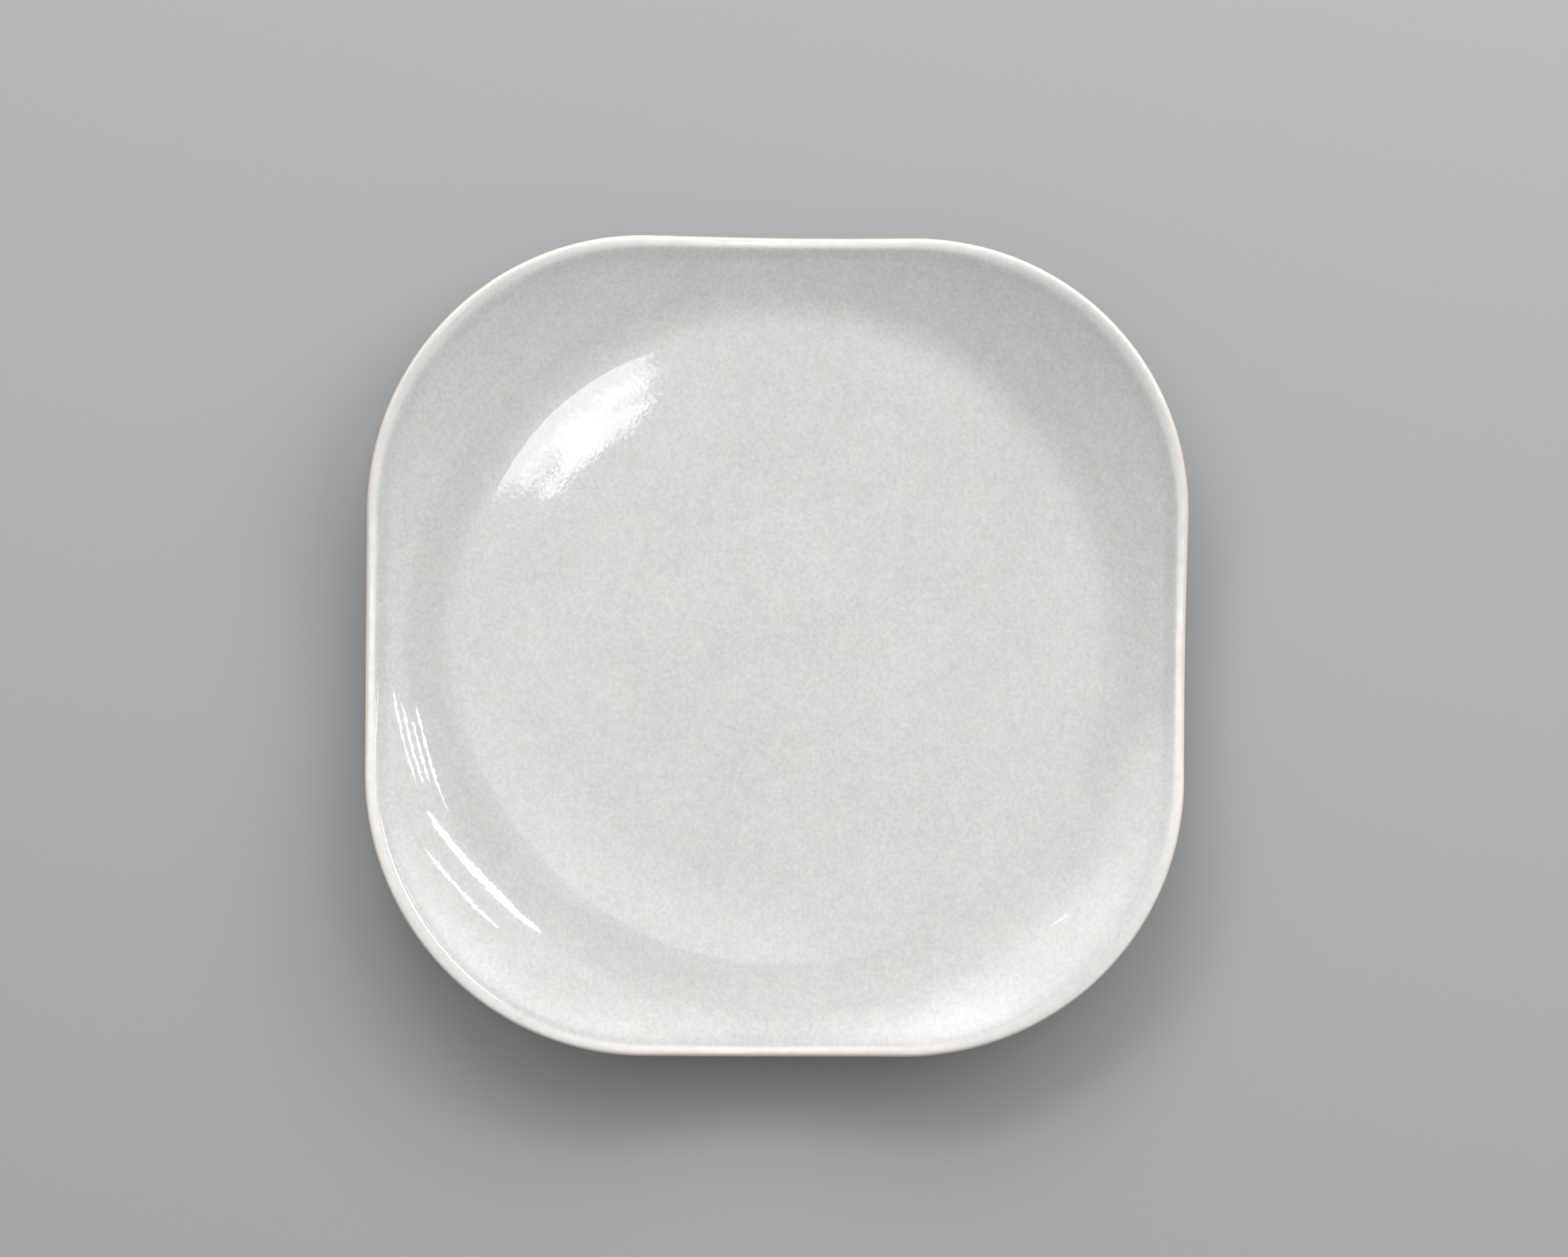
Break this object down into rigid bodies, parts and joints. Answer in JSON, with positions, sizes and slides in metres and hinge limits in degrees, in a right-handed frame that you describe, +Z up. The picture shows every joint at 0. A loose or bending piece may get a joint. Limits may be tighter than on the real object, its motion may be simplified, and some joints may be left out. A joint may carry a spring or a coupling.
{
  "type": "chop plate",
  "caption": "Rounded-square glazed earthenware plate with a round, gently dished well, upswept corners, a soft rolled lip and a dry foot ring, for serving food.",
  "frame": {"origin": "middle of the foot ring, in the plane that the plate rests on", "axes": "+Z up out of the face, square to the table; X and Y along the straight sides of the rim"},
  "size_m": [0.33, 0.33, 0.0349],
  "materials": {
    "fired_clay": "matt bare clay",
    "face_glaze": "glossy pale grey glaze",
    "back_glaze": "glossy pale grey glaze",
    "foot_well_glaze": "glossy pale grey glaze"
  },
  "bodies": {
    "root": {"clay_body": "fired_clay", "face_glaze": "face_glaze", "back_glaze": "back_glaze", "foot_well_glaze": "foot_well_glaze"}
  },
  "joints": []
}
